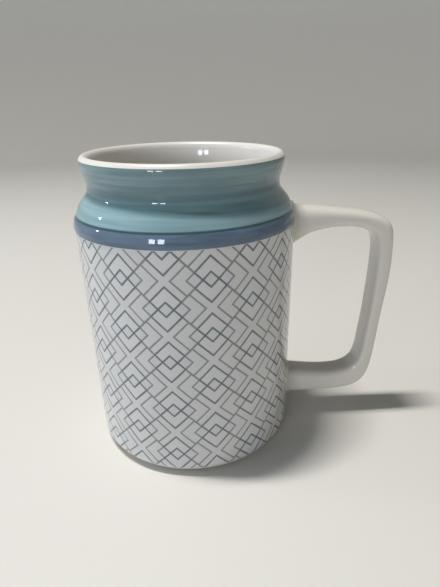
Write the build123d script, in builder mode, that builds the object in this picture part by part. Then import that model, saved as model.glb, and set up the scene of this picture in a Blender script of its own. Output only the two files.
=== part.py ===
from build123d import *
from math import cos, radians, tan
import os

# A glazed stoneware mug with a flared neck, a raised band and a strap handle.
# Frame: origin at the middle of the foot ring's resting plane, +Z up, handle towards +X.
# Outlines are half sections (radius, height) of the glazed surface; "depth" is how far
# a line lies under that surface, so 0 is the glaze and GLAZE is the clay. All in mm.

# Overall
HEIGHT = 121.0
GLAZE = 0.4
TRANSFER = 0.1

# Foot ring and recessed underside
FOOT_OUTER = 37.4
FOOT_INNER = 33.4
FOOT_HEIGHT = 1.0
FOOT_ROUND = 0.6
RECESS_HEIGHT = 2.2

# Wall: rounded corner at the bottom, slight taper up to the band
CORNER_RADIUS = 4.4
WALL_TOP_RADIUS = 43.2
TAPER = 0.7
BAND_BOTTOM = 93.9

# Raised band
BAND_EDGE_RADIUS = 43.85
BAND_RADIUS = 44.0
BAND_WIDEST = 95.7
BAND_TOP_RADIUS = 42.9
BAND_TOP = 99.0

# Hollow neck and rolled lip
GROOVE_RADIUS = 42.1
GROOVE_SLOPE = (-0.35, 1)
SHOULDER = (40.6, 102.7)
NECK_RADIUS = 37.25
NECK_HEIGHT = 109.3
FLARE_RADIUS = 38.85
FLARE_SLOPE = (0.12, 1)
LIP_BOTTOM = 119.6
LIP_INNER_RADIUS = 35.35

# Inside of the cup
FLOOR_HEIGHT = 6.8
FLOOR_ROUND = 9.0
INSIDE_BOTTOM_RADIUS = 38.5
INSIDE_TOP_RADIUS = 39.6
INSIDE_TOP = 95.0
INSIDE_SHOULDER = (37.6, 102.4)
INSIDE_NECK_RADIUS = 34.0
INSIDE_LIP_SLOPE = (-0.12, -1)

# Strap handle, as corners (distance from the axis, height) with a rounding for each
ROOT_X = 39.0
HANDLE_WIDTH = 12.5
HANDLE_ROUND = 3.0
HANDLE_OUTER = [
    (ROOT_X, 98.9),
    (66.0, 96.8),
    (85.2, 91.6),
    (85.8, 72.0),
    (80.0, 12.2),
    (56.0, 11.8),
    (ROOT_X, 10.4),
]
HANDLE_OUTER_ROUNDS = [40.0, 4.8, 90.0, 9.0, 60.0]
HANDLE_INNER = [
    (ROOT_X, 25.6),
    (52.0, 22.6),
    (74.2, 21.6),
    (78.1, 70.0),
    (78.3, 87.6),
    (64.0, 89.6),
    (52.0, 88.2),
    (ROOT_X, 77.6),
]
HANDLE_INNER_ROUNDS = [25.0, 6.5, 90.0, 8.0, 30.0, 14.0]

# Slip collars that lute the handle to the wall, as (height of the middle, height of the collar)
COLLAR_X = 46.0
COLLAR_ROUND = 3.2
COLLAR_TAPER = 28.0
UPPER_COLLAR = (91.3, 13.6)
LOWER_COLLAR = (17.6, 14.0)

# Printed transfers: from under the band to PRINT_WRAP degrees round the bottom corner
PRINT_TOP = 93.7
PRINT_WRAP = 25.0
SEAM_WIDTH = 0.2

os.makedirs("parts", exist_ok=True)


def wall_radius(height):
    """Radius of the glazed wall at a height."""
    return WALL_TOP_RADIUS - (BAND_BOTTOM - height) * tan(radians(TAPER))


CORNER_Z = FOOT_HEIGHT + CORNER_RADIUS
CORNER_X = wall_radius(CORNER_Z) - CORNER_RADIUS / cos(radians(TAPER))


def wall_outline(depth):
    """Bottom corner and tapering wall, from the foot to under the band."""
    corner = CenterArc((CORNER_X, CORNER_Z), CORNER_RADIUS - depth, -90, 90 - TAPER)
    wall = Line(corner @ 1, (WALL_TOP_RADIUS - depth / cos(radians(TAPER)), BAND_BOTTOM))
    return corner @ 0, wall @ 1


def print_outline(depth):
    """Printed part of the wall, from a little way round the bottom corner to under the band."""
    corner = CenterArc((CORNER_X, CORNER_Z), CORNER_RADIUS - depth, -PRINT_WRAP, PRINT_WRAP - TAPER)
    wall = Line(corner @ 1, (wall_radius(PRINT_TOP) - depth / cos(radians(TAPER)), PRINT_TOP))
    return corner @ 0, wall @ 1


def band_outline(depth):
    """Convex face of the raised band, widest near its lower edge."""
    face = ThreePointArc(
        (BAND_EDGE_RADIUS - depth, BAND_BOTTOM),
        (BAND_RADIUS - depth, BAND_WIDEST),
        (BAND_TOP_RADIUS - depth, BAND_TOP),
    )
    return face @ 0, face @ 1


def neck_outline(depth):
    """Shoulder, hollow neck and flare, from the groove above the band to under the lip."""
    curve = Spline(
        (GROOVE_RADIUS - depth, BAND_TOP),
        (SHOULDER[0] - depth, SHOULDER[1]),
        (NECK_RADIUS - depth, NECK_HEIGHT),
        (FLARE_RADIUS - depth, LIP_BOTTOM),
        tangents=[GROOVE_SLOPE, FLARE_SLOPE],
    )
    return curve @ 0, curve @ 1


def lip_outline(depth):
    """Rolled lip, from its lower outer edge over the top to the inside of the neck."""
    roll = ThreePointArc(
        (FLARE_RADIUS - depth, LIP_BOTTOM),
        ((FLARE_RADIUS + LIP_INNER_RADIUS) / 2, HEIGHT - depth),
        (LIP_INNER_RADIUS + depth, LIP_BOTTOM),
    )
    return roll @ 0, roll @ 1


def inside_outline(depth):
    """Inside of the cup, from the lip down the neck and wall to the middle of the floor."""
    neck = Spline(
        (LIP_INNER_RADIUS + depth, LIP_BOTTOM),
        (INSIDE_NECK_RADIUS + depth, NECK_HEIGHT),
        (INSIDE_SHOULDER[0] + depth, INSIDE_SHOULDER[1]),
        (INSIDE_TOP_RADIUS + depth, INSIDE_TOP),
        tangents=[INSIDE_LIP_SLOPE, (0, -1)],
    )
    wall = Line(neck @ 1, (INSIDE_BOTTOM_RADIUS + depth, FLOOR_HEIGHT + FLOOR_ROUND))
    corner = RadiusArc(
        wall @ 1,
        (INSIDE_BOTTOM_RADIUS - FLOOR_ROUND, FLOOR_HEIGHT - depth),
        FLOOR_ROUND + depth,
    )
    floor = Line(corner @ 1, (0, FLOOR_HEIGHT - depth))
    return neck @ 0, floor @ 1


def foot_outline(start):
    """Unglazed foot ring and recessed underside, from the wall's corner to the axis."""
    top = Line(start, (FOOT_OUTER, start.Y))
    side = Line(top @ 1, (FOOT_OUTER, FOOT_ROUND))
    outer_edge = RadiusArc(side @ 1, (FOOT_OUTER - FOOT_ROUND, 0), FOOT_ROUND)
    rest = Line(outer_edge @ 1, (FOOT_INNER + FOOT_ROUND, 0))
    inner_edge = RadiusArc(rest @ 1, (FOOT_INNER, FOOT_ROUND), FOOT_ROUND)
    inner_side = Line(inner_edge @ 1, (FOOT_INNER, RECESS_HEIGHT + GLAZE))
    recess = Line(inner_side @ 1, (0, RECESS_HEIGHT + GLAZE))
    return recess @ 1


def outside_outline(depth):
    """Whole outside of the vessel, from the foot to under the lip."""
    start, wall_end = wall_outline(depth)
    band_start, band_end = band_outline(depth)
    neck_start, neck_end = neck_outline(depth)
    Line(wall_end, band_start)
    Line(band_end, neck_start)
    return start, neck_end


def full_outline(depth):
    """Closed half section of the vessel as if it were solid."""
    start, end = outside_outline(depth)
    Polyline(end, (0, end.Y), (0, start.Y), start)


def save(builder, name):
    """Labels a finished piece and writes its STEP file."""
    builder.part.label = name
    export_step(builder.part, f"parts/{name}.step")


def handle_lines():
    """Closed side view of the handle: its outer line, its inner line and the two root ends."""
    outer = FilletPolyline(*HANDLE_OUTER, radius=HANDLE_OUTER_ROUNDS)
    inner = FilletPolyline(*HANDLE_INNER, radius=HANDLE_INNER_ROUNDS)
    Line(outer @ 0, inner @ 1)
    Line(outer @ 1, inner @ 0)


def long_edges(part):
    """Edges along the strap's two flat sides, without the root ends."""
    sides = part.faces().filter_by(Axis.Y)
    return sides.edges().filter_by_position(Axis.X, ROOT_X + 2 * GLAZE, part.part.bounding_box().max.X)


# Solids used only for trimming
with BuildPart() as clay_envelope:
    with BuildSketch(Plane.XZ):
        with BuildLine():
            full_outline(GLAZE)
        make_face()
    revolve(axis=Axis.Z)

with BuildPart() as handle_envelope:
    with BuildSketch(Plane.XZ):
        with BuildLine():
            handle_lines()
        make_face()
    extrude(amount=HANDLE_WIDTH / 2, both=True)
    fillet(long_edges(handle_envelope), HANDLE_ROUND)

with BuildPart() as handle_core:
    with BuildSketch(Plane.XZ):
        with BuildLine():
            handle_lines()
        make_face()
        offset(amount=-GLAZE, mode=Mode.REPLACE)
    extrude(amount=HANDLE_WIDTH / 2 - GLAZE, both=True)
    fillet(long_edges(handle_core), HANDLE_ROUND - GLAZE)


# Fired clay vessel: foot, wall, band, neck and lip in one thrown body
with BuildPart() as stoneware_body:
    with BuildSketch(Plane.XZ):
        with BuildLine():
            outside_start, _ = outside_outline(GLAZE)
            lip_outline(GLAZE)
            _, inside_end = inside_outline(GLAZE)
            underside_end = foot_outline(outside_start)
            Line(underside_end, inside_end)
        make_face()
    revolve(axis=Axis.Z)
save(stoneware_body, "stoneware_body")


# Strap handle, luted on: its roots are cut to the clay wall
with BuildPart() as handle:
    add(handle_core.part)
    add(clay_envelope.part, mode=Mode.SUBTRACT)
save(handle, "handle")


def collar(middle, height):
    """Tapering ring of slip around a handle root, open where the strap passes through it."""
    end = Plane(origin=(COLLAR_X, 0, middle), x_dir=(0, 1, 0), z_dir=(-1, 0, 0))
    with BuildPart() as ring:
        with BuildSketch(end):
            RectangleRounded(HANDLE_WIDTH, height, COLLAR_ROUND)
        extrude(amount=COLLAR_X - ROOT_X, taper=-COLLAR_TAPER)
        add(clay_envelope.part, mode=Mode.SUBTRACT)
        add(handle_envelope.part, mode=Mode.SUBTRACT)
    return ring


upper_slip_joint = collar(*UPPER_COLLAR)
lower_slip_joint = collar(*LOWER_COLLAR)
save(upper_slip_joint, "upper_slip_joint")
save(lower_slip_joint, "lower_slip_joint")


def trim_for_handle():
    """Cuts the handle and its slip out of the glaze being built."""
    for piece in (handle_envelope, upper_slip_joint, lower_slip_joint):
        add(piece.part, mode=Mode.SUBTRACT)


# Glaze over the handle
with BuildPart() as handle_glaze:
    add(handle_envelope.part)
    add(handle_core.part, mode=Mode.SUBTRACT)
    add(clay_envelope.part, mode=Mode.SUBTRACT)
save(handle_glaze, "handle_glaze")


def coat_lines(outline, under, over):
    """Thin closed section between two depths of one outline."""
    under_start, under_end = outline(under)
    over_start, over_end = outline(over)
    Line(under_start, over_start)
    Line(under_end, over_end)


def glaze_zone(outline):
    """Coat of glaze between the clay and the glazed surface, along one outline."""
    with BuildPart() as coat:
        with BuildSketch(Plane.XZ):
            with BuildLine():
                coat_lines(outline, GLAZE, 0)
            make_face()
        revolve(axis=Axis.Z)
        trim_for_handle()
    return coat


wall_glaze = glaze_zone(wall_outline)
band_glaze = glaze_zone(band_outline)
neck_glaze = glaze_zone(neck_outline)
save(wall_glaze, "wall_glaze")
save(band_glaze, "band_glaze")
save(neck_glaze, "neck_glaze")


def liner_outline(depth):
    """Over the lip and down the inside to the middle of the floor."""
    start, _ = lip_outline(depth)
    _, end = inside_outline(depth)
    return start, end


# White liner glaze: inside of the cup and over the lip
with BuildPart() as liner_glaze:
    with BuildSketch(Plane.XZ):
        with BuildLine():
            coat_lines(liner_outline, GLAZE, 0)
        make_face()
    revolve(axis=Axis.Z)
save(liner_glaze, "liner_glaze")


# Glaze on the recessed underside, inside the foot ring
with BuildPart() as base_glaze:
    with BuildSketch(Plane.XY.offset(RECESS_HEIGHT)):
        Circle(FOOT_INNER)
    extrude(amount=GLAZE)
save(base_glaze, "base_glaze")


def transfer(side):
    """Printed film on one side of the mug: the two films meet at the handle and opposite it."""
    seam = Plane(origin=(0, side * SEAM_WIDTH / 2, 0), z_dir=(0, side, 0))
    with BuildPart() as film:
        with BuildSketch(Plane.XZ):
            with BuildLine():
                coat_lines(print_outline, 0, -TRANSFER)
            make_face()
        revolve(axis=Axis.Z)
        split(bisect_by=seam, keep=Keep.TOP)
        trim_for_handle()
    return film


front_transfer = transfer(-1)
rear_transfer = transfer(1)
save(front_transfer, "front_transfer")
save(rear_transfer, "rear_transfer")
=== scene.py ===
from math import cos, pi, radians, sin, sqrt, tan

import bmesh
import bpy
import numpy as np
from mathutils import Matrix, Vector, noise


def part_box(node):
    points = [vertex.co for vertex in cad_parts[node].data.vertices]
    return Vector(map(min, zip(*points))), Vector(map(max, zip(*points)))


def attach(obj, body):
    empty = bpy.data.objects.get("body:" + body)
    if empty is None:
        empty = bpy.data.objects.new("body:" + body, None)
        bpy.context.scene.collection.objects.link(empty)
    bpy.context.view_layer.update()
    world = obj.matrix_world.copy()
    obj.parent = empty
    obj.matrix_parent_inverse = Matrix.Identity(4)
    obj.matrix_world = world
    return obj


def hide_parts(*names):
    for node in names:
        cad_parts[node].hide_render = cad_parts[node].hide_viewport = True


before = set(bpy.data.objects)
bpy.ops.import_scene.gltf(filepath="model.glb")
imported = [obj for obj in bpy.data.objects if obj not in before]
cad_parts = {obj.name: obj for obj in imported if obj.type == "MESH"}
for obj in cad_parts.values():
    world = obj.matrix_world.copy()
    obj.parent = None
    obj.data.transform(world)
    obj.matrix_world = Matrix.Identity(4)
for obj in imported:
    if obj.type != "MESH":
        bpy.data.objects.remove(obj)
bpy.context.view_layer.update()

# Lengths here are in millimetres, in the CAD frame: +Z up, handle towards +X.
# MM turns them into metres where a mesh, a light or the camera is made.
MM = 0.001


def box_mm(node):
    """Lowest and highest corner of a CAD node, in millimetres."""
    low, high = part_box(node)
    return low / MM, high / MM


WALL_LOW, WALL_HIGH = box_mm("wall_glaze")
BAND_LOW, BAND_HIGH = box_mm("band_glaze")
NECK_LOW, NECK_HIGH = box_mm("neck_glaze")
_, LINER_HIGH = box_mm("liner_glaze")
BASE_LOW, BASE_HIGH = box_mm("base_glaze")
FILM_LOW, FILM_HIGH = box_mm("front_transfer")
STRAP_LOW, STRAP_HIGH = box_mm("handle_glaze")

GLAZE = BASE_HIGH.z - BASE_LOW.z
HEIGHT = LINER_HIGH.z

# Outside of the vessel
WALL_TOP_RADIUS = -WALL_LOW.x
TAPER_DEGREES = 0.7
TAPER = radians(TAPER_DEGREES)
CORNER_RADIUS = 4.4
BAND_RADIUS = -BAND_LOW.x - 0.3
FOOT_OUTER, FOOT_INNER, FOOT_ROUND = 37.4, BASE_HIGH.x, 0.6
LIP_LOW, LIP_TOP = NECK_HIGH.z, HEIGHT
GROOVE_RADIUS = BAND_RADIUS - 1.2

# Inside of the vessel: top of its straight wall, foot of that wall, rounding and floor
INSIDE_TOP = (39.6, 93.0)
INSIDE_FOOT_RADIUS = 38.5
INSIDE_ROUND = 9.0
FLOOR_Z = 6.8

TURN = 288  # facets round the axis
RIM_DIP_FROM = 100.0  # height from which the rim's dip begins
WAVER_SCALE = 0.045  # the waver's bumps per millimetre


# ---------------------------------------------------------------- outlines


def cubic(points, count, knots=None):
    """count points along a natural cubic spline through the given points."""
    p = np.array(points, float)
    t = np.array(knots, float) if knots is not None else chord(p)
    n = len(p)
    h = np.diff(t)
    a = np.zeros((n, n))
    b = np.zeros((n, p.shape[1]))
    a[0, 0] = a[-1, -1] = 1.0
    for i in range(1, n - 1):
        a[i, i - 1 : i + 2] = h[i - 1], 2 * (h[i - 1] + h[i]), h[i]
        b[i] = 6 * ((p[i + 1] - p[i]) / h[i] - (p[i] - p[i - 1]) / h[i - 1])
    m = np.linalg.solve(a, b)
    s = np.linspace(t[0], t[-1], count)
    k = np.clip(np.searchsorted(t, s, side="right") - 1, 0, n - 2)
    u, v, w = (s - t[k])[:, None], (t[k + 1] - s)[:, None], h[k][:, None]
    bend = (m[k] * v**3 + m[k + 1] * u**3) / (6 * w)
    return bend + (p[k] / w - m[k] * w / 6) * v + (p[k + 1] / w - m[k + 1] * w / 6) * u


def chord(p):
    """Running length along a row of points."""
    return np.concatenate([[0.0], np.cumsum(np.linalg.norm(np.diff(p, axis=0), axis=1))])


def even(path, count):
    """The same path with count points evenly spaced along it."""
    path = np.array(path, float)
    t = chord(path)
    s = np.linspace(0, t[-1], count)
    return np.column_stack([np.interp(s, t, path[:, k]) for k in range(path.shape[1])])


def arc(centre, radius, start, end, count):
    """Points on a circle from one angle to another, in degrees."""
    angle = np.radians(np.linspace(start, end, count))
    return np.column_stack([centre[0] + radius * np.cos(angle), centre[1] + radius * np.sin(angle)])


def inset(path, depth):
    """The path moved by depth to its left, seen along it."""
    path = np.array(path, float)
    along = np.gradient(path, axis=0)
    along /= np.linalg.norm(along, axis=1)[:, None]
    return path + depth * np.column_stack([-along[:, 1], along[:, 0]])


def wall_radius(height):
    """Outside radius of the straight, tapering wall at a height."""
    return WALL_TOP_RADIUS - (WALL_HIGH.z - height) * tan(TAPER)


CORNER_Z = WALL_LOW.z + CORNER_RADIUS
CORNER_X = wall_radius(CORNER_Z) - CORNER_RADIUS / cos(TAPER)
WALL = np.vstack(
    [
        arc((CORNER_X, CORNER_Z), CORNER_RADIUS, -90, -TAPER_DEGREES, 25),
        even([(wall_radius(CORNER_Z), CORNER_Z), (WALL_TOP_RADIUS, WALL_HIGH.z)], 60)[1:],
    ]
)
BAND = cubic(
    [
        (WALL_TOP_RADIUS - 0.05, BAND_LOW.z),
        (BAND_RADIUS - 0.24, BAND_LOW.z + 0.08),
        (BAND_RADIUS - 0.06, BAND_LOW.z + 0.6),
        (BAND_RADIUS, BAND_LOW.z + 1.3),
        (BAND_RADIUS - 0.09, BAND_LOW.z + 2.2),
        (BAND_RADIUS - 0.28, BAND_LOW.z + 3.1),
        (BAND_RADIUS - 0.52, BAND_LOW.z + 4.0),
        (BAND_RADIUS - 0.82, BAND_HIGH.z - 0.5),
        (GROOVE_RADIUS, BAND_HIGH.z),
    ],
    40,
)
NECK = cubic(
    [
        (GROOVE_RADIUS, NECK_LOW.z),
        (42.2, 99.8),
        (41.72, 101.0),
        (41.05, 102.4),
        (39.9, 104.05),
        (38.75, 105.5),
        (37.93, 106.65),
        (37.42, 107.75),
        (37.26, 109.0),
        (37.3, 110.7),
        (37.65, 112.2),
        (38.1, 113.9),
        (38.55, 115.8),
        (38.9, 117.6),
        (39.02, 118.7),
        (38.85, LIP_LOW),
    ],
    90,
)
LIP = cubic(
    [
        (38.85, LIP_LOW),
        (38.45, LIP_LOW + 0.62),
        (37.9, LIP_TOP - 0.25),
        (37.15, LIP_TOP),
        (36.4, LIP_TOP - 0.3),
        (35.75, LIP_TOP - 1.0),
        (35.3, LIP_TOP - 2.2),
    ],
    48,
)
THROAT = cubic(
    [
        (35.3, LIP_TOP - 2.2),
        (34.94, 116.7),
        (34.72, 114.4),
        (34.6, 111.8),
        (34.75, 108.8),
        (35.5, 105.8),
        (37.0, 102.9),
        (38.6, 99.8),
        (39.45, 96.6),
        INSIDE_TOP,
    ],
    60,
)
ROUND_X, ROUND_Z = INSIDE_FOOT_RADIUS - INSIDE_ROUND, FLOOR_Z + INSIDE_ROUND
INSIDE = np.vstack(
    [
        THROAT,
        even([INSIDE_TOP, (INSIDE_FOOT_RADIUS, ROUND_Z)], 40)[1:],
        arc((ROUND_X, ROUND_Z), INSIDE_ROUND, 0, -90, 25)[1:],
        even([(ROUND_X, FLOOR_Z), (0, FLOOR_Z)], 16)[1:],
    ]
)


# ---------------------------------------------------------------- meshes


def finish_mesh(name, bm, material, slot, *nodes, crease=50):
    """Object from a bmesh in millimetres, smooth shaded, riding on the one body."""
    bmesh.ops.remove_doubles(bm, verts=bm.verts, dist=0.002)
    bmesh.ops.recalc_face_normals(bm, faces=bm.faces)
    bmesh.ops.transform(bm, matrix=Matrix.Scale(MM, 4), verts=bm.verts)
    mesh = bpy.data.meshes.new(name)
    bm.to_mesh(mesh)
    bm.free()
    mesh.polygons.foreach_set("use_smooth", [True] * len(mesh.polygons))
    mesh.set_sharp_from_angle(angle=radians(crease))
    mesh.materials.append(material)
    piece = bpy.data.objects.new(name, mesh)
    bpy.context.scene.collection.objects.link(piece)
    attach(piece, "root")
    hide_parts(*nodes)
    return piece


def settle(a, z):
    """How far the rim dips at an angle round Z: a hand-thrown rim isn't quite level."""
    share = np.clip((z - RIM_DIP_FROM) / (HEIGHT - RIM_DIP_FROM), 0, 1)
    return (0.55 - 0.5 * sin(a) + 0.3 * cos(a)) * share * share * (3 - 2 * share)


def shell(outer, inner, start=0.0, end=360.0, waver=0.0):
    """Closed coat between two outlines with as many points each.

    It is turned from start to end degrees about Z, where angle 0 is +X. waver is how far
    a hand-thrown surface strays from round, in millimetres.
    """
    full = end - start >= 360
    steps = TURN if full else round(TURN * (end - start) / 360) + 1
    angles = np.radians(np.linspace(start, end, steps, endpoint=not full))
    bm = bmesh.new()
    rings = []
    for a in angles:
        row = []
        for path in (outer, inner):
            for r, z in path:
                spot = Vector((r * cos(a), r * sin(a), z))
                swell = waver * noise.noise(spot * WAVER_SCALE) if waver and r > 1 else 0.0
                far = r + swell
                row.append(bm.verts.new((far * cos(a), far * sin(a), z - settle(a, z))))
        rings.append(row)
    n = len(outer)
    loop = list(range(n)) + list(range(2 * n - 1, n - 1, -1))
    pairs = list(zip(rings, rings[1:] + rings[:1])) if full else list(zip(rings, rings[1:]))
    for one, two in pairs:
        for i, j in zip(loop, loop[1:] + loop[:1]):
            bm.faces.new((one[i], one[j], two[j], two[i]))
    if not full:
        for row in (rings[0], rings[-1]):
            for i in range(n - 1):
                bm.faces.new((row[i], row[i + 1], row[n + i + 1], row[n + i]))
    return bm


# ---------------------------------------------------------------- handle

HALF_WIDTH = (STRAP_HIGH.y - STRAP_LOW.y) / 2

# Side view of the strap as (distance from the axis, height), from the upper root to the
# lower one. These points were traced from the photograph, not constructed.
STRAP_OUTER = [
    (40.0, 98.6), (45.6, 98.35), (53.1, 97.85), (64.1, 96.6), (72.4, 95.3), (78.6, 93.5),
    (82.6, 91.0), (84.5, 87.4), (85.1, 82.6),
    (85.4, 74.3), (85.0, 65.3), (84.0, 55.9), (83.0, 46.1), (82.2, 36.0), (81.2, 26.8),
    (79.7, 20.2), (76.9, 15.6), (72.9, 13.2),
    (67.2, 12.1), (54.9, 11.5), (40.0, 10.9),
]
STRAP_INNER = [
    (40.0, 80.6), (45.4, 84.5), (52.3, 87.6), (62.5, 89.15), (69.6, 88.7), (73.6, 87.3),
    (75.9, 85.6), (77.2, 83.2), (77.8, 80.4),
    (78.0, 74.0), (77.8, 65.3), (77.3, 55.6), (76.6, 45.4), (75.6, 36.0), (74.6, 29.4),
    (73.0, 26.0), (70.4, 23.8), (67.0, 22.6),
    (62.6, 22.1), (54.4, 22.4), (40.0, 24.4),
]
STRAP_ROWS = 260  # sections along the strap
AROUND = 72  # facets round it
SQUARENESS = 3.1  # 2 would be an ellipse, more is squarer

# Where the strap flares into the wall
CLEAR_OF_WALL = 48.5  # x from which a section of the strap is clear of the wall
UPPER_FLARE = (1.2, 1.3, 1.3)  # flare radii above, beside and below the upper root
LOWER_FLARE = (2.0, 1.3, 1.6)
FLARE_ROWS = 15
FLARE_SINK = 0.12  # how far the flare's rim sinks into the glaze
FLARE_TAIL = 1.2  # how far the closed end goes on inside
BAND_STEP = 1.6  # height over which the band's step is smoothed under a root
BAND_SINK = 0.15  # how far under the band's widest line a root meets it


def strap_section(outer, inner):
    """Ring of points of the rounded strap between an outer and an inner point."""
    middle, half = (outer + inner) / 2, (outer - inner) / 2
    a = np.linspace(0, 2 * pi, AROUND, endpoint=False)
    c, s = np.cos(a), np.sin(a)
    side = HALF_WIDTH * np.sign(c) * np.abs(c) ** (2 / SQUARENESS)
    rise = np.sign(s) * np.abs(s) ** (2 / SQUARENESS)
    return np.column_stack([middle[0] + rise * half[0], side, middle[1] + rise * half[1]])


def vessel_radius(z):
    """Radius of the outside where a handle root meets it, with the band's step smoothed."""
    step = np.clip((z - BAND_LOW.z + BAND_STEP / 2) / BAND_STEP, 0, 1)
    rise = BAND_RADIUS - WALL_TOP_RADIUS - BAND_SINK
    return wall_radius(z) + rise * step * step * (3 - 2 * step)


def root_rows(near, far, radii):
    """Rows that flare from the strap into the vessel's wall.

    near and far are the strap's sections just clear of the wall and inside it.
    """
    ahead, behind = np.roll(near, -1, axis=0), np.roll(near, 1, axis=0)
    out = np.column_stack([ahead[:, 2] - behind[:, 2], behind[:, 1] - ahead[:, 1]])
    out /= np.linalg.norm(out, axis=1)[:, None]
    centre = near[:, 1:].mean(axis=0)
    out *= np.sign(((near[:, 1:] - centre) * out).sum(axis=1))[:, None]
    up, side, down = radii
    r = side + (up - side) * np.clip(out[:, 1], 0, 1) + (down - side) * np.clip(-out[:, 1], 0, 1)
    rows = []
    for a in np.linspace(0, pi / 2, FLARE_ROWS):
        x = near[:, 0].copy()
        for _ in range(4):  # x depends on itself through the strap's slope, and soon settles
            share = ((near[:, 0] - x) / (near[:, 0] - far[:, 0]))[:, None]
            base = near[:, 1:] + (far[:, 1:] - near[:, 1:]) * share
            yz = base + (r * (1 - cos(a)))[:, None] * out
            wall = np.sqrt(vessel_radius(yz[:, 1]) ** 2 - yz[:, 0] ** 2)
            x = wall + r * (1 - sin(a)) - FLARE_SINK * sin(a)
        rows.append(np.column_stack([x, yz]))
    last = rows[-1].copy()
    last[:, 0] -= FLARE_TAIL
    rows.append(last)
    return rows


def strap_mesh():
    """The whole strap with both flares, closed at its two ends inside the wall."""
    knots = chord((np.array(STRAP_OUTER) + np.array(STRAP_INNER)) / 2)
    outer, inner = cubic(STRAP_OUTER, STRAP_ROWS, knots), cubic(STRAP_INNER, STRAP_ROWS, knots)
    sections = [strap_section(o, i) for o, i in zip(outer, inner)]
    clear = [k for k, s in enumerate(sections) if s[:, 0].min() > CLEAR_OF_WALL]
    first, last = clear[0], clear[-1]
    top = root_rows(sections[first], sections[0], UPPER_FLARE)
    bottom = root_rows(sections[last], sections[-1], LOWER_FLARE)
    rows = top[::-1] + sections[first : last + 1] + bottom
    bm = bmesh.new()
    rings = [[bm.verts.new(p) for p in row] for row in rows]
    for one, two in zip(rings, rings[1:]):
        for k in range(AROUND):
            n = (k + 1) % AROUND
            bm.faces.new((one[k], one[n], two[n], two[k]))
    for ring in (rings[0], rings[-1]):
        bm.faces.new(ring)
    return bm


# ---------------------------------------------------------------- materials


class Graph:
    """Short names for building a material's node tree."""

    def __init__(self, name):
        self.material = bpy.data.materials.new(name)
        self.material.use_nodes = True
        self.tree = self.material.node_tree
        self.surface = self.tree.nodes["Principled BSDF"]
        self.place = self.tree.nodes.new("ShaderNodeTexCoord").outputs["Object"]

    def node(self, kind, inputs, output=0, **settings):
        n = self.tree.nodes.new(kind)
        for key, value in settings.items():
            setattr(n, key, value)
        for key, value in inputs.items():
            if isinstance(value, bpy.types.NodeSocket):
                self.tree.links.new(value, n.inputs[key])
            else:
                n.inputs[key].default_value = value
        return n.outputs[output]

    def math(self, operation, *values, clamp=False):
        return self.node("ShaderNodeMath", dict(enumerate(values)), operation=operation, use_clamp=clamp)

    def vector(self, operation, *values):
        return self.node("ShaderNodeVectorMath", dict(enumerate(values)), operation=operation)

    def ramp(self, value, low, high, start=0.0, end=1.0):
        """Smooth step from start to end while value goes from low to high."""
        return self.node(
            "ShaderNodeMapRange",
            {0: value, 1: low, 2: high, 3: start, 4: end},
            interpolation_type="SMOOTHSTEP",
        )

    def mix(self, share, one, two):
        return self.node("ShaderNodeMix", {0: share, 6: one, 7: two}, 2, data_type="RGBA")

    def noise(self, size, stretch=(1, 1, 1), detail=3.0, rough=0.5):
        """Noise with features about size millimetres across, stretched along the axes."""
        scale = tuple(1 / (size * MM * s) for s in stretch)
        spot = self.vector("MULTIPLY", self.place, scale)
        return self.node(
            "ShaderNodeTexNoise",
            {"Vector": spot, "Scale": 1.0, "Detail": detail, "Roughness": rough},
        )

    def bump(self, height, distance, strength=1.0, normal=None):
        inputs = {"Height": height, "Distance": distance * MM, "Strength": strength}
        if normal is not None:
            inputs["Normal"] = normal
        return self.node("ShaderNodeBump", inputs)

    def shade(self, **inputs):
        for key, value in inputs.items():
            socket = self.surface.inputs[key.replace("_", " ").title().replace("Ior", "IOR")]
            if isinstance(value, bpy.types.NodeSocket):
                self.tree.links.new(value, socket)
            else:
                socket.default_value = value
        return self.material


# Glaze colours, in linear light
WHITE = (0.72, 0.69, 0.63)
LINER = (0.76, 0.735, 0.69)
GROOVE_COLOUR = (0.038, 0.088, 0.110, 1)  # the two glazes run together in the groove

# How far the neck glaze's zones move up or down, in metres
BRUSH_SWAY = 0.003  # with the brush's streaks
# painted shadow edge: tilts the top of the painted lit shoulder round the neck, like the lip's shadow
SHADOW_EDGE_TILT = 0.003  # to either side of level, round the neck


def glaze_relief(g, wave=0.03):
    """The soft unevenness of a fired glaze."""
    broad = g.bump(g.noise(9.0, detail=1.0), wave)
    return g.bump(g.noise(2.2, detail=2.0), wave * 0.12, normal=broad)


def white_glaze(name, colour, roll=None):
    """White glaze, duller where it thins over the lip's roll from the height roll up."""
    g = Graph(name)
    cloud = g.noise(26.0, detail=2.0)
    tone = g.mix(cloud, tuple(c * 0.975 for c in colour) + (1,), colour + (1,))
    gloss = g.ramp(g.noise(7.0, detail=3.0), 0.3, 0.7, 0.07, 0.13)
    if roll is not None:
        _, z = around(g)
        gloss = g.math("ADD", gloss, g.ramp(z, roll * MM, (roll + 1.0) * MM, 0.0, 0.22))
    return g.shade(base_color=tone, roughness=gloss, normal=glaze_relief(g), ior=1.52)


def clay():
    """Bare fired clay, seen only on the foot ring."""
    g = Graph("bare_stoneware")
    grain = g.noise(0.5, detail=4.0)
    blotch = g.noise(9.0, detail=3.0)
    body = g.mix(blotch, (0.60, 0.55, 0.46, 1), (0.68, 0.63, 0.55, 1))
    speck = g.mix(g.ramp(grain, 0.62, 0.72), body, (0.38, 0.31, 0.24, 1))
    return g.shade(base_color=speck, roughness=0.82, normal=g.bump(grain, 0.05), ior=1.45)


def around(g):
    """Turn round the mug in radians, and the height in metres.

    The turn is 0 opposite the handle, and jumps from pi to -pi behind the handle.
    """
    x, y, z = (g.node("ShaderNodeSeparateXYZ", {0: g.place}, k) for k in range(3))
    return g.math("ARCTAN2", g.math("MULTIPLY", y, -1.0), g.math("MULTIPLY", x, -1.0)), z


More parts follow.
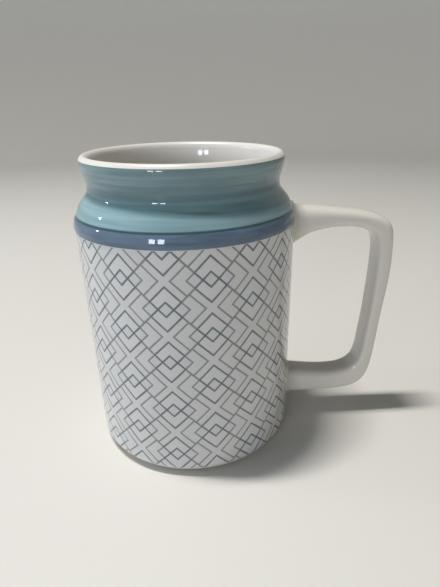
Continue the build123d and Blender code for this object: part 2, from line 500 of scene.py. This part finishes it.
def neck_glaze():
    """Teal glaze with brushed streaks, in zones whose colours hold painted light as well as glaze colour:
    a painted lit shoulder whose top follows the lip's shadow, higher on the side facing the light; above
    it a painted dark reflection band that fades out towards the handle, where the hollow's colour takes
    over; darkest in the throat and paler on the flare under the lip.
    """
    g = Graph("teal_glaze")
    turn, z = around(g)
    low, high = NECK_LOW.z * MM, LIP_LOW * MM
    streak = g.noise(30.0, (1, 1, 0.055), 4.0, 0.55)
    cloud = g.noise(16.0, (1.6, 1.6, 0.6), 2.0, 0.5)
    brush = g.math("ADD", g.math("MULTIPLY", streak, 0.7), g.math("MULTIPLY", cloud, 0.3))
    # the heights at which one zone gives way to the next are in metres, from here on
    level = g.math("ADD", z, g.math("MULTIPLY", brush, BRUSH_SWAY))
    # painted shadow edge: the lit shoulder reaches higher on the side facing the ceiling light and lower
    # towards the handle
    shadow_edge_level = g.math("MULTIPLY_ADD", g.math("COSINE", turn), -SHADOW_EDGE_TILT, level)
    shade = g.ramp(brush, 0.34, 0.66)
    # partly glaze colour, partly painted light: the shoulder is made lighter where it is lit below the
    # lip's shadow
    lit_shoulder = g.mix(shade, (0.215, 0.345, 0.385, 1), (0.285, 0.425, 0.470, 1))
    # painted dark reflection: a darker band between the lit shoulder and the hollow
    dark_reflection_band = g.mix(shade, (0.100, 0.185, 0.215, 1), (0.130, 0.220, 0.245, 1))
    hollow = g.mix(shade, (0.150, 0.265, 0.290, 1), (0.210, 0.335, 0.360, 1))
    throat = g.mix(shade, (0.085, 0.160, 0.190, 1), (0.130, 0.215, 0.240, 1))
    flare = g.mix(shade, (0.140, 0.225, 0.245, 1), (0.215, 0.315, 0.335, 1))
    # share of the painted dark reflection band, which fades out towards the handle side
    dark_band_share = g.ramp(g.math("COSINE", turn), -0.55, -0.1)
    tone = g.mix(g.ramp(shadow_edge_level, 0.1040, 0.1058), lit_shoulder, g.mix(dark_band_share, hollow, dark_reflection_band))
    tone = g.mix(g.ramp(shadow_edge_level, 0.1060, 0.1075), tone, hollow)
    tone = g.mix(g.ramp(level, 0.1085, 0.1103), tone, throat)
    tone = g.mix(g.ramp(level, 0.1115, 0.1160), tone, flare)
    tone = g.mix(g.ramp(z, high - 0.0006, high, 0.0, 0.75), tone, LINER + (1,))
    edge = g.mix(g.ramp(z, low + 0.0003, low + 0.001, 1.0, 0.0), tone, GROOVE_COLOUR)
    return g.shade(base_color=edge, roughness=0.05, normal=glaze_relief(g, 0.02), ior=1.55)


def band_glaze():
    """Slate-blue glaze, streaked round the band."""
    g = Graph("slate_glaze")
    _, z = around(g)
    high = BAND_HIGH.z * MM
    streak = g.noise(22.0, (1, 1, 0.12), 3.0, 0.55)
    tone = g.mix(g.ramp(streak, 0.34, 0.66), (0.078, 0.126, 0.190, 1), (0.122, 0.176, 0.250, 1))
    tone = g.mix(g.ramp(z, high - 0.0003, high), tone, GROOVE_COLOUR)
    return g.shade(base_color=tone, roughness=0.05, normal=glaze_relief(g, 0.015), ior=1.55)


# The print: a lattice of diamonds, with neighbouring columns half a repeat apart in height
COLUMN_TURN = 0.3641  # radians from one column of diamonds to the next
ROW_RISE = 10.3446  # from one row to the next
COLUMN_UNITS, ROW_UNITS = 5.75, 3.75  # the same steps in the drawing's own units
PRINT_TURN, PRINT_Z = 0.2010 + pi / 2, 83.4531  # the middle of one motif
GROUND = (0.625, 0.625, 0.63)
DARK_INK = (0.23, 0.255, 0.275)
LIGHT_INK = (0.37, 0.385, 0.38)
LINK_INK = (0.43, 0.45, 0.45)
HAZE_TINT = (0.957, 0.975, 1.003)  # a faint blue in the middle of each motif
BRIGHT_FIELD = 1.01  # the fields of the dark diamonds are a little whiter


def printed_film():
    """The drawing on the wall, as inks that darken the white film under them."""
    g = Graph("printed_transfer")
    turn, z = around(g)
    first_column = -PRINT_TURN * COLUMN_UNITS / COLUMN_TURN
    first_row = PRINT_Z * ROW_UNITS / ROW_RISE
    column = g.math("MULTIPLY_ADD", turn, COLUMN_UNITS / COLUMN_TURN, first_column)
    row = g.math("MULTIPLY_ADD", z, -ROW_UNITS / ROW_RISE / MM, first_row)
    width = g.ramp(g.noise(3.0, detail=2.0), 0.25, 0.75, 0.112, 0.138)

    def line(distance, half=1.0):
        """1 on a line and 0 off it, from the distance to it."""
        w = g.math("MULTIPLY", width, half)
        return g.ramp(g.math("SUBTRACT", g.math("ABSOLUTE", distance), w), -0.06, 0.06, 1.0, 0.0)

    def diamond(a, b, size):
        """Distance to the outline |a| + |b| = size."""
        total = g.math("ADD", g.math("ABSOLUTE", a), g.math("ABSOLUTE", b))
        return g.math("MULTIPLY", g.math("SUBTRACT", total, size), sqrt(0.5))

    def field(a, b, size):
        """1 inside the diamond |a| + |b| = size."""
        total = g.math("ADD", g.math("ABSOLUTE", a), g.math("ABSOLUTE", b))
        return g.math("LESS_THAN", total, size)

    dark = light = link = haze = bright = None
    for k in (0, 1):
        u = g.math("WRAP", g.math("SUBTRACT", column, k * COLUMN_UNITS), COLUMN_UNITS, -COLUMN_UNITS)
        v = g.math("WRAP", g.math("SUBTRACT", row, k * ROW_UNITS), ROW_UNITS, -ROW_UNITS)
        u, v = g.math("ABSOLUTE", u), g.math("ABSOLUTE", v)
        near = line(diamond(u, g.math("SUBTRACT", v, 1.0), 2.0))
        low = line(diamond(u, g.math("ADD", v, 1.0), 2.0))
        side = line(diamond(g.math("SUBTRACT", u, 3.0), v, 2.0), 0.9)
        bump = g.math("MULTIPLY", line(diamond(u, v, 3.0), 0.9), g.math("GREATER_THAN", u, 2.0))
        # the short run from a dark corner to the next motif's, from (2, 1) to (3.75, 2.75)
        along = g.math("MULTIPLY", g.math("SUBTRACT", g.math("SUBTRACT", u, v), 1.0), sqrt(0.5))
        stroke = line(along, 0.95)
        reach = g.math("LESS_THAN", g.math("ABSOLUTE", g.math("SUBTRACT", u, 2.875)), 0.9)
        run = g.math("MULTIPLY", stroke, reach)
        middle = field(u, v, 3.0)
        white = g.math("SUBTRACT", field(u, g.math("SUBTRACT", v, 1.0), 2.0), field(u, v, 1.0), clamp=True)
        parts = [g.math("ADD", near, low), g.math("ADD", side, bump), run, middle, white]
        if dark is None:
            dark, light, link, haze, bright = parts
        else:
            sums = [g.math("ADD", one, two) for one, two in zip((dark, light, link, haze, bright), parts)]
            dark, light, link, haze, bright = sums

    def ink(amount, passed):
        """What one ink lets through: everything where amount is 0, passed where it is 1 or more."""
        return g.mix(g.math("MINIMUM", amount, 1.0), (1, 1, 1, 1), passed + (1,))

    through = g.vector("MINIMUM", ink(dark, DARK_INK), ink(light, LIGHT_INK))
    through = g.vector("MINIMUM", through, ink(link, LINK_INK))
    cloud = g.mix(g.noise(30.0, detail=2.0), tuple(c * 0.98 for c in GROUND) + (1,), GROUND + (1,))
    hazed = tuple(c * k for c, k in zip(GROUND, HAZE_TINT)) + (1,)
    cloud = g.mix(g.math("MINIMUM", haze, 1.0), cloud, hazed)
    cloud = g.mix(g.math("MINIMUM", bright, 1.0), cloud, tuple(c * BRIGHT_FIELD for c in GROUND) + (1,))
    tone = g.vector("MULTIPLY", cloud, through)
    relief = g.bump(g.math("ADD", dark, light), 0.004, 0.5, normal=glaze_relief(g))
    return g.shade(base_color=tone, roughness=0.12, normal=relief, ior=1.52)


white = white_glaze("white_glaze", WHITE)
liner = white_glaze("liner_glaze", LINER, roll=LIP_LOW - 1.8)
printed = printed_film()

# ---------------------------------------------------------------- pieces

clay_outside = np.vstack([inset(WALL, GLAZE), inset(BAND, GLAZE), inset(NECK, GLAZE)])
lip_outside, lip_inside = LIP[: len(LIP) // 2], LIP[len(LIP) // 2 :]
foot = np.vstack(
    [
        even([(0, BASE_HIGH.z), (FOOT_INNER, BASE_HIGH.z)], 12),
        [(FOOT_INNER, FOOT_ROUND + 0.3)],
        arc((FOOT_INNER + FOOT_ROUND, FOOT_ROUND), FOOT_ROUND, 180, 270, 7),
        arc((FOOT_OUTER - FOOT_ROUND, FOOT_ROUND), FOOT_ROUND, -90, 0, 7),
        [(FOOT_OUTER, WALL_LOW.z + GLAZE)],
    ]
)
clay_path = np.vstack([foot, clay_outside[1:], inset(lip_outside, GLAZE)])
hollow_path = np.vstack([inset(lip_inside, GLAZE), inset(INSIDE, GLAZE)])[::-1]
hollow_path[0] = (0, INSIDE[-1][1] - GLAZE)
clay_path[-1] = hollow_path[-1] = (clay_path[-1] + hollow_path[-1]) / 2
CLAY_POINTS = 260
finish_mesh(
    "thrown_body",
    shell(even(clay_path, CLAY_POINTS), even(hollow_path, CLAY_POINTS)),
    clay(),
    "stoneware",
    "stoneware_body",
)

liner_path = np.vstack([LIP, INSIDE[1:]])
liner_back = inset(liner_path, GLAZE)
liner_back[-1] = (0, INSIDE[-1][1] - GLAZE)
finish_mesh("liner_coat", shell(liner_path, liner_back), liner, "liner_glaze", "liner_glaze")
neck_coat = shell(NECK, inset(NECK, GLAZE), waver=0.06)
finish_mesh("neck_coat", neck_coat, neck_glaze(), "teal_glaze", "neck_glaze")
band_coat = shell(BAND, inset(BAND, GLAZE), waver=0.04)
finish_mesh("band_coat", band_coat, band_glaze(), "slate_glaze", "band_glaze")
finish_mesh("wall_coat", shell(WALL, inset(WALL, GLAZE)), white, "white_glaze", "wall_glaze")
base_path = even([(0, BASE_LOW.z), (FOOT_INNER, BASE_LOW.z)], 20)
finish_mesh("base_coat", shell(base_path, base_path + (0, GLAZE)), liner, "liner_glaze", "base_glaze")

film_path = WALL[(WALL[:, 1] > FILM_LOW.z) & (WALL[:, 1] < FILM_HIGH.z)]
film_path = np.vstack([film_path, (wall_radius(FILM_HIGH.z), FILM_HIGH.z)])
# The film thins out towards its two edges
thickness = np.interp(
    film_path[:, 1],
    [FILM_LOW.z, FILM_LOW.z + 1.5, FILM_HIGH.z - 0.5, FILM_HIGH.z],
    [0.005, 0.08, 0.08, 0.02],
)
outward = inset(film_path, -1) - film_path
film_face = film_path + outward * thickness[:, None]
for name, start, node in (
    ("rear_print_right", 0, "rear_transfer"),
    ("rear_print_left", 90, "rear_transfer"),
    ("front_print_left", 180, "front_transfer"),
    ("front_print_right", 270, "front_transfer"),
):
    finish_mesh(name, shell(film_face, film_path, start, start + 90), printed, "printed_transfer", node)

finish_mesh(
    "handle_strap",
    strap_mesh(),
    white,
    "white_glaze",
    "handle",
    "handle_glaze",
    "upper_slip_joint",
    "lower_slip_joint",
    crease=80,
)


# ---------------------------------------------------------------- studio


def floor_material():
    """Pale table, a little greyer where the bowl's wall rises."""
    g = Graph("pale_table")
    height = g.node("ShaderNodeSeparateXYZ", {0: g.place}, 2)
    tone = g.mix(g.ramp(height, 0.02, 0.7), (0.705, 0.690, 0.655, 1), (0.62, 0.62, 0.60, 1))
    return g.shade(base_color=tone, roughness=0.45, ior=1.45)


def studio_bowl():
    """Round table top, in metres, that curves up into a wall on every side."""
    profile = np.vstack(
        [
            even([(0.02, 0.0), (1.1, 0.0)], 24),
            arc((1.1, 0.6), 0.6, -90, 0, 24)[1:],
            even([(1.7, 0.6), (1.7, 1.3)], 8)[1:],
        ]
    )
    bm = bmesh.new()
    turns = np.linspace(0, 2 * pi, 97)[:-1]
    rings = [[bm.verts.new((r * cos(a), r * sin(a), z)) for a in turns] for r, z in profile]
    bm.faces.new(rings[0])
    for one, two in zip(rings, rings[1:]):
        for k in range(len(turns)):
            n = (k + 1) % len(turns)
            bm.faces.new((one[k], one[n], two[n], two[k]))
    mesh = bpy.data.meshes.new("studio_floor")
    bm.to_mesh(mesh)
    bm.free()
    mesh.polygons.foreach_set("use_smooth", [True] * len(mesh.polygons))
    mesh.materials.append(floor_material())
    floor = bpy.data.objects.new("studio_floor", mesh)
    bpy.context.scene.collection.objects.link(floor)


studio_bowl()


AIM = Vector((0, 0, 0.07))  # a point inside the mug that every light faces


def softbox(name, turn, rise, distance, size, power, colour=(1, 1, 1), crosswise=False):
    """Area light aimed at the mug.

    turn is from -Y towards +X and rise above the table, both in degrees. distance and
    size are in metres. A crosswise light has its first side upright, not its second.
    """
    data = bpy.data.lights.new(name, "AREA")
    data.shape = "RECTANGLE"
    data.size, data.size_y = size
    data.energy = power
    data.color = colour
    lamp = bpy.data.objects.new(name, data)
    t, e = radians(turn), radians(rise)
    back = Vector((sin(t) * cos(e), -cos(t) * cos(e), sin(e)))
    lamp.location = AIM + back * distance
    lamp.rotation_mode = "QUATERNION"
    lamp.rotation_quaternion = (-back).to_track_quat("-Z", "X" if crosswise else "Y")
    bpy.context.scene.collection.objects.link(lamp)
    return lamp


softbox("ceiling_tube", -90, 77, 1.3, (0.35, 0.07), 16.0, (1.0, 0.975, 0.93), crosswise=True)
fill = softbox("left_fill", -85, 22, 1.3, (1.2, 0.7), 4.2, (0.80, 0.93, 1.12))
fill.visible_glossy = False
softbox("pane_left", -31.4, 11, 1.0, (0.1, 0.17), 0.85, (0.86, 0.95, 1.08))
softbox("pane_right", -22.7, 11, 1.0, (0.1, 0.17), 0.85, (0.86, 0.95, 1.08))
softbox("lamp", -99, 23, 1.0, (0.04, 0.04), 0.5)

world = bpy.data.worlds.new("studio")
world.use_nodes = True
world.node_tree.nodes["Background"].inputs["Color"].default_value = (0.80, 0.83, 0.80, 1)
world.node_tree.nodes["Background"].inputs["Strength"].default_value = 0.06
bpy.context.scene.world = world
bpy.context.scene.view_settings.view_transform = "Standard"

# ---------------------------------------------------------------- camera

# Found by matching circles and edges of the mug in the photograph
CAMERA_AT = Vector((6.40, -183.23, 137.03))
HEADING = radians(87.97)  # of the view, from +X towards +Y
DOWN, ROLL = 0.3949, -0.0269  # radians
FOCAL_PIXELS = 457.95
IMAGE_HEIGHT = 587

data = bpy.data.cameras.new("photo_camera")
data.sensor_width = 36.0
data.lens = FOCAL_PIXELS / IMAGE_HEIGHT * data.sensor_width
data.clip_start, data.clip_end = 0.01, 20.0
camera = bpy.data.objects.new("photo_camera", data)
forward = Vector((cos(HEADING) * cos(DOWN), sin(HEADING) * cos(DOWN), -sin(DOWN)))
level = Vector((sin(HEADING), -cos(HEADING), 0))
up = level.cross(forward)
right = cos(ROLL) * level + sin(ROLL) * up
up = cos(ROLL) * up - sin(ROLL) * level
turned = Matrix((right, up, -forward)).transposed().to_4x4()
camera.matrix_world = Matrix.Translation(CAMERA_AT * MM) @ turned
bpy.context.scene.collection.objects.link(camera)
bpy.context.scene.camera = camera
